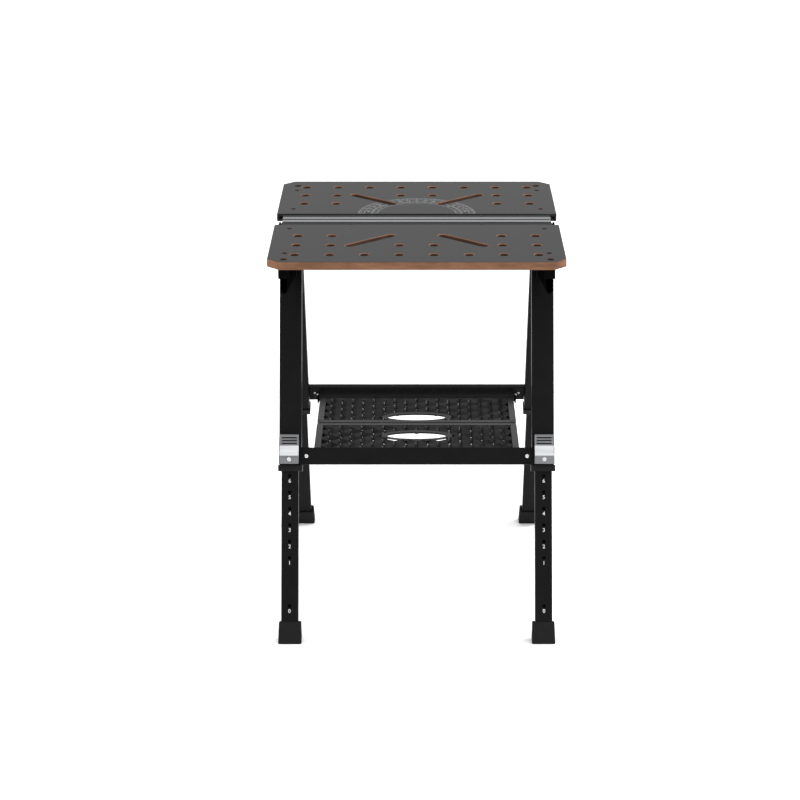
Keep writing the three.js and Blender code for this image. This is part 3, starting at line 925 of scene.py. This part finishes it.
@dataclass
class LegFrame:
    """One leg frame: two telescoping legs with latches, collars and feet, joined by a cross bar."""

    end: End
    pivot: Vector
    splay: float
    pin_s: float = 452 * MM
    pitch: float = 37 * MM
    lowest: float = 330.4 * MM
    figure_drop: float = 11.6 * MM
    figure_size: float = 12 * MM
    leg_x: float = 287 * MM
    face: float = 10 * MM
    bar_face: float = 16.4 * MM
    bar_inner: float = 2.4 * MM
    latch_top: float = 396 * MM
    grip_length: float = 25 * MM
    slope_length: float = 22.5 * MM
    zone_lap: float = 1 * MM
    settings: int = 7
    figure_lift: float = 0.06 * MM
    # The dark strips in the grip plate's grooves, painted shade in the rubber finish: how far down the grip
    # plate, outer and inner depth, half width and height.
    strips: tuple[float, ...] = (7 * MM, 13.5 * MM, 20 * MM)
    strip_depths: tuple[float, float] = (-28.15 * MM, -27.2 * MM)
    strip_half: tuple[float, float] = (16.8 * MM, 1.4 * MM)
    pin_face: float = 37 * MM
    pin_head: ScrewHead = ScrewHead(4.6 * MM, 2.0 * MM, 0.9 * MM)

    @classmethod
    def of(cls, end: End, joints: Sequence[dict[str, Any]]) -> "LegFrame":
        """Reads the pivot and the lean of the front frame from the joints.

        Args:
            end: which end the frame stands at.
            joints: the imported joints.

        Returns:
            The leg frame.
        """
        found = {joint["name"]: joint for joint in joints}
        axis = found["leg_slide_front_left"]["axis"]
        lean = math.atan2(abs(axis[1]), abs(axis[2]))
        return cls(end, Vector(found["legs_front_fold"]["pos_m"]), lean)

    def leg_axes(self) -> Matrix:
        """Leg axes to world: Z up the leg from the pivot, -Y outwards."""
        lean = Matrix.Translation(self.pivot) @ Matrix.Rotation(-self.splay, 4, "X")
        return self.end.turn @ lean

    def build(self) -> None:
        """Builds every piece of the frame."""
        end = self.end.value
        body = f"legs_{end}"
        Rounding(POWDER, long_radius=1.6 * MM, edge=0.5 * MM).apply(f"cross_bar_{end}", body)
        for side in Side:
            tag = f"{end}_{side.label}"
            eased = (
                ("upper_leg", body, Rounding(POWDER, long_radius=2.6 * MM, edge=0.4 * MM)),
                ("lower_leg", f"lower_leg_{tag}", Rounding(POWDER, long_radius=2.2 * MM)),
                ("guide_collar", body, Rounding(NYLON, edge=1.4 * MM)),
                ("rubber_foot", f"lower_leg_{tag}", Rounding(RUBBER, edge=2.4 * MM)),
                ("latch_seat", body, Rounding(POWDER, edge=0.4 * MM)),
                ("latch_rocker", f"rocker_{tag}", Rounding(ZINC, edge=0.8 * MM)),
                ("top_prop", f"props_{end}", Rounding(POWDER_DULL, edge=0.5 * MM)),
                ("top_arm", f"top_{end}", Rounding(POWDER_DULL, long_radius=1.6 * MM, edge=0.4 * MM)),
                ("hinge_pin", "apex", Rounding(ZINC, edge=0.8 * MM)),
                ("leg_pin", "apex", Rounding(ZINC, edge=0.8 * MM)),
            )
            pieces = {kind: how.apply(f"{kind}_{tag}", rides_on) for kind, rides_on, how in eased}
            self.latch_zones(pieces["latch_rocker"])
            self.figures(side, tag)
            self.latch_marks(side, tag)
        self.bar_screws(body)
        LOG.info("leg frame %s done", end)

    def figures(self, side: Side, tag: str) -> None:
        """Prints the height figures under the setting holes of one lower leg."""
        x = self.leg_x * side.value * self.end.sign
        steps = [(self.settings - k, self.pin_s + k * self.pitch) for k in range(1, self.settings)]
        steps.append((0, self.pin_s + self.lowest))
        parts = []
        for value, s in steps:
            spot = Matrix.Translation((x, -self.face - self.figure_lift, -s - self.figure_drop))
            matrix = self.leg_axes() @ spot @ Matrix.Rotation(math.pi / 2, 4, "X")
            parts.append(text_mesh(str(value), self.figure_size, matrix))
        figures = merged_meshes(f"height_figures_{tag}", parts, [WHITE_INK])
        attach(figures, f"lower_leg_{tag}")

    def bar_screws(self, body: str) -> None:
        """Sets bright screw heads near each end of the cross bar: one outside, and one or two inside."""
        screws = BAR_SCREWS[self.end]
        shells = []
        faces = ((screws.outside, self.bar_face, 1), (screws.inside, self.bar_inner, -1))
        for spots, face, turn in faces:
            facing = Matrix.Rotation(turn * math.pi / 2, 4, "X")
            for x, s in [(side * x, s) for side in (-1, 1) for x, s in spots]:
                spot = Matrix.Translation((x, -face, -s)) @ facing
                shells.append(screws.head.shell(self.leg_axes() @ spot))
        heads = screw_set(f"bar_screws_{self.end.value}", shells, SCREW)
        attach(heads, body)

    def latch_zones(self, rocker: Piece) -> None:
        """Paints the grip plate above and the block below darker as painted shade, and leaves the slope
        between them bright as the lit face.
        """
        rocker.data.materials.append(ZINC_SHADE.build())
        faces = rocker.data.polygons
        centres = np.zeros(len(faces) * 3)
        faces.foreach_get("center", centres)
        down = -placed(centres.reshape(-1, 3), self.leg_axes().inverted())[:, 2] - self.latch_top
        slope_start = self.grip_length - self.zone_lap
        # The grip plate and the block get the darker plating as painted shade; the slope keeps the bright
        # plating.
        shaded = (down < slope_start) | (down > slope_start + self.slope_length)
        faces.foreach_set("material_index", shaded.astype(np.int32))

    def latch_marks(self, side: Side, tag: str) -> None:
        """Adds what dresses a latch: dark strips in its three grooves, in the rubber finish, as painted
        shade there, and a bright pin head below.
        """
        x = self.leg_x * side.value * self.end.sign
        shells = []
        outer, inner = self.strip_depths
        wide, tall = self.strip_half
        for step in self.strips:
            groove = np.array([[outer, -tall], [inner, -tall], [inner, tall], [outer, tall]])
            groove[:, 1] -= self.latch_top + step
            shells.append(prism_x(groove, x - wide, x + wide))
        shells = [(placed(points, self.leg_axes()), faces) for points, faces in shells]
        # Dark strips stand in for the shade inside the grip plate's grooves.
        strips = joined(f"grip_strips_{tag}", shells, [RUBBER])
        spot = Matrix.Translation((x, -self.pin_face, -self.pin_s)) @ Matrix.Rotation(math.pi / 2, 4, "X")
        head = screw_set(f"latch_pin_head_{tag}", [self.pin_head.shell(self.leg_axes() @ spot)], SCREW)
        for piece, slot in ((strips, "collar_plastic"), (head, "latch_steel")):
            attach(piece, f"rocker_{tag}")


@dataclass
class Shelf:
    """One half of the shelf: a steel frame filled with expanded metal around an oval grip hole.

    A diamond is long by short, in steps points a half. Its strands swing by a share of their pitch, with
    the peaks clipped, and lie down at bond_rate past bond_from. rim_lap is how far they reach over the
    ring, and grip_shift moves their gap away from the user.
    """

    end: End
    long: float = 50 * MM
    short: float = 43 * MM
    steps: int = 6
    strand: float = 12.0 * MM
    sheet: float = 1.4 * MM
    swing: float = 0.27
    clipped: float = 1.25
    bond_from: float = 0.72
    bond_rate: float = 5.0
    tilt_deg: float = 66.0
    bond_tilt_deg: float = 42.0
    sink: float = 3.5 * MM
    rim_width: float = 13.0 * MM
    rim_lap: float = 3 * MM
    grip: tuple[float, float] = (69 * MM, 21 * MM)
    grip_shift: float = 5 * MM
    front_grip_y: float = 81 * MM
    rear_grip_y: float = 42 * MM

    @property
    def grip_y(self) -> float:
        """Distance of the grip hole's middle from the seam."""
        return self.front_grip_y if self.end is End.FRONT else self.rear_grip_y

    def strands(self, low: Vector, high: Vector, z: float) -> list[Shell]:
        """Zigzag strands that bond at their peaks, cut clear of the grip hole.

        Strand k follows y = y_k + swing * pitch * wave(x). The wave is a triangle between -1 and 1 over one
        diamond, overdriven and cut flat at its peaks. Neighbours swing opposite ways, so that each peak
        meets the next strand's trough.

        Args:
            low: the sheet's lowest corner.
            high: its highest corner.
            z: height of the strands' middle.

        Returns:
            The skin of every stretch of strand.
        """
        made = []
        rows = int((high.y - low.y) / (self.short / 2))
        pitch = (high.y - low.y) / rows
        steps = 2 * round((high.x - low.x) / (self.long / self.steps))
        xs = np.linspace(low.x, high.x, steps + 1)
        for k in range(rows):
            phase = xs / self.long + 0.5 * (k % 2)
            tri = 4 * np.abs(phase - np.floor(phase + 0.5)) - 1
            wave = np.clip(tri * self.clipped, -1, 1)
            y = low.y + (k + 0.5) * pitch + wave * pitch * self.swing
            bond = np.clip((np.abs(tri) - self.bond_from) * self.bond_rate, 0, 1)
            for run in self.runs(xs, y):
                made.append(self.ribbon(xs[run], y[run], bond[run], z))
        return made

    def runs(self, xs: np.ndarray, y: np.ndarray) -> list[np.ndarray]:
        """Splits a strand into the stretches that lie outside the grip hole's rim."""
        a, b = self.grip
        cy = -self.grip_y + self.grip_shift * self.end.sign
        clear = self.rim_width - self.rim_lap
        free = ((xs / (a + clear)) ** 2 + ((y - cy) / (b + clear)) ** 2) > 1
        index = np.flatnonzero(free)
        parts = np.split(index, np.flatnonzero(np.diff(index) > 1) + 1)
        return [part for part in parts if len(part) > 1]

    def ribbon(self, x: np.ndarray, y: np.ndarray, bond: np.ndarray, z: float) -> Shell:
        """A strand of rectangular section, tilted to face the user and lying flatter at its bonds."""
        path = np.column_stack([x, y, np.full_like(x, z)])
        along = np.gradient(path, axis=0)
        along /= np.linalg.norm(along, axis=1, keepdims=True)
        flat = np.cross([0.0, 0, 1], along)
        tilt = self.tilt_deg + (self.bond_tilt_deg - self.tilt_deg) * bond
        tip = np.radians(tilt)[:, None] * self.end.sign
        across = flat * np.cos(tip) + np.array([0.0, 0, 1]) * np.sin(tip)
        up = np.cross(along, across)
        w, h = self.strand / 2, self.sheet / 2
        outline = np.array([[-w, -h], [w, -h], [w, h], [-w, h]])
        return swept(outline, path, across, up)

    def rim(self, z: float) -> Shell:
        """The flat oval ring round the grip hole, with its rounded inner lip turned down."""
        a, b = self.grip
        t = np.linspace(0, 2 * math.pi, 64, endpoint=False)
        width = self.rim_width / MM
        # The ring's section in mm, outwards from the hole and up: its top, its outer edge and the lip.
        section = MM * np.array([
            [0, 0.9], [1.2, 1.2], [width, 1.0], [width, -0.2], [1.6, 0.0], [1.2, -2.4], [0, -2.4]
        ])
        ring = np.stack([np.cos(t), np.sin(t)], axis=-1)
        grown = section[:, :1]
        x = (a + grown) * ring[:, 0]
        y = (b + grown) * ring[:, 1] - self.grip_y
        points = np.stack([x, y, np.broadcast_to(z + section[:, 1:], x.shape)], axis=-1)
        points = points.transpose(1, 0, 2)
        n, m = len(section), len(t)
        i, j = np.meshgrid(np.arange(m), np.arange(n), indexing="ij")
        i1, j1 = (i + 1) % m, (j + 1) % n
        quads = np.stack([i * n + j, i1 * n + j, i1 * n + j1, i * n + j1], axis=-1)
        return points.reshape(-1, 3), quads.reshape(-1, 4).tolist()

    def build(self) -> None:
        """Builds the sheet of expanded metal and eases the frame."""
        end = self.end.value
        low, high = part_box("shelf_sheet_front")
        z = (low.z + high.z) / 2
        shells = self.strands(low, high, z - self.sink) + [self.rim(z)]
        turn = self.end.turn
        # The strands and the rim take the paler coating, painted as the sheen on the expanded metal.
        sheet = joined(f"expanded_metal_{end}", [(placed(p, turn), f) for p, f in shells], [POWDER_MESH])
        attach(sheet, f"shelf_{end}")
        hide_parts(f"shelf_sheet_{end}")
        frame = Rounding(POWDER_PALE, long_radius=1.2 * MM, edge=0.4 * MM)
        frame.apply(f"shelf_frame_{end}", f"shelf_{end}")
        LOG.info("shelf %s: %d faces", end, len(sheet.data.polygons))


@dataclass(frozen=True)
class Lamp:
    """One square soft light that looks at a point: its size is in metres and its power in watts."""

    name: str
    place: tuple[float, float, float]
    aim: tuple[float, float, float]
    size: float
    power: float

    def build(self) -> None:
        """Puts the light in the scene."""
        lamp = bpy.data.lights.new(self.name, "AREA")
        lamp.size = self.size
        lamp.energy = self.power
        made = bpy.data.objects.new(self.name, lamp)
        made.location = self.place
        made.rotation_euler = (Vector(self.aim) - Vector(self.place)).to_track_quat("-Z", "Y").to_euler()
        bpy.context.scene.collection.objects.link(made)


@dataclass
class Studio:
    """A pale floor, a soft dome of light with a few panels, and the camera."""

    focal: float = 100.375
    sensor: float = 36.0
    eye: tuple[float, float, float] = (0.0, -4.89946, 2.22338)
    pitch_deg: float = 19.86
    shift_x: float = -0.0209
    horizon: float = 0.5
    zenith: float = 1.9
    floor_half: float = 60.0
    lamps: tuple[Lamp, ...] = (
        Lamp("key", (3.2, 1.2, 2.6), (0, 0, 0.85), 1.2, 110),
        Lamp("left_fill", (-3.0, -2.0, 1.8), (0, 0, 0.6), 1.4, 20),
        Lamp("right_fill", (3.0, -1.8, 1.6), (0, 0, 0.5), 1.4, 22),
    )

    def build(self) -> None:
        """Makes the floor, the lights, the dome and the camera."""
        self.floor()
        for lamp in self.lamps:
            lamp.build()
        self.dome()
        bpy.context.scene.view_settings.view_transform = "Standard"
        self.camera()

    def dome(self) -> None:
        """The sky: its strength grows with height from the horizon to the zenith."""
        world = bpy.data.worlds.new("studio")
        world.use_nodes = True
        tree = world.node_tree
        ray = node(tree, "TexCoord").outputs["Generated"]
        height = node(tree, "SeparateXYZ", Vector=ray).outputs["Z"]
        limits = {"To Min": self.horizon, "To Max": self.zenith}
        strength = node(tree, "MapRange", limits, Value=height).outputs["Result"]
        tree.nodes["Background"].inputs["Color"].default_value = linear("ffffff")
        tree.links.new(strength, tree.nodes["Background"].inputs["Strength"])
        bpy.context.scene.world = world

    def floor(self) -> None:
        """A large pale sheet on the ground."""
        size = self.floor_half
        points = np.array([[-size, -size, 0], [size, -size, 0], [size, size, 0], [-size, size, 0]])
        ground = new_object("studio_floor", mesh_of("studio_floor", points, [[0, 1, 2, 3]]), [PAPER])

    def camera(self) -> None:
        """A long lens in front of the table, looking slightly down."""
        lens = bpy.data.cameras.new("camera")
        lens.lens = self.focal
        lens.sensor_width = self.sensor
        lens.shift_x = self.shift_x
        made = bpy.data.objects.new("camera", lens)
        made.location = self.eye
        made.rotation_euler = (math.radians(90 - self.pitch_deg), 0, 0)
        bpy.context.scene.collection.objects.link(made)
        bpy.context.scene.camera = made


def main() -> None:
    """Loads the frame and builds the table piece by piece."""
    logging.basicConfig(level=logging.INFO, format="%(message)s")
    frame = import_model()
    Tops().build()
    Scale().build()
    CentreRail().build()
    for side in Side:
        Rounding(POWDER_DULL, edge=0.8 * MM).apply(f"apex_bracket_{side.label}", "apex")
    for end in End:
        LegFrame.of(end, frame["joints"]).build()
        Shelf(end).build()
    Studio().build()


if __name__ == "__main__":
    main()
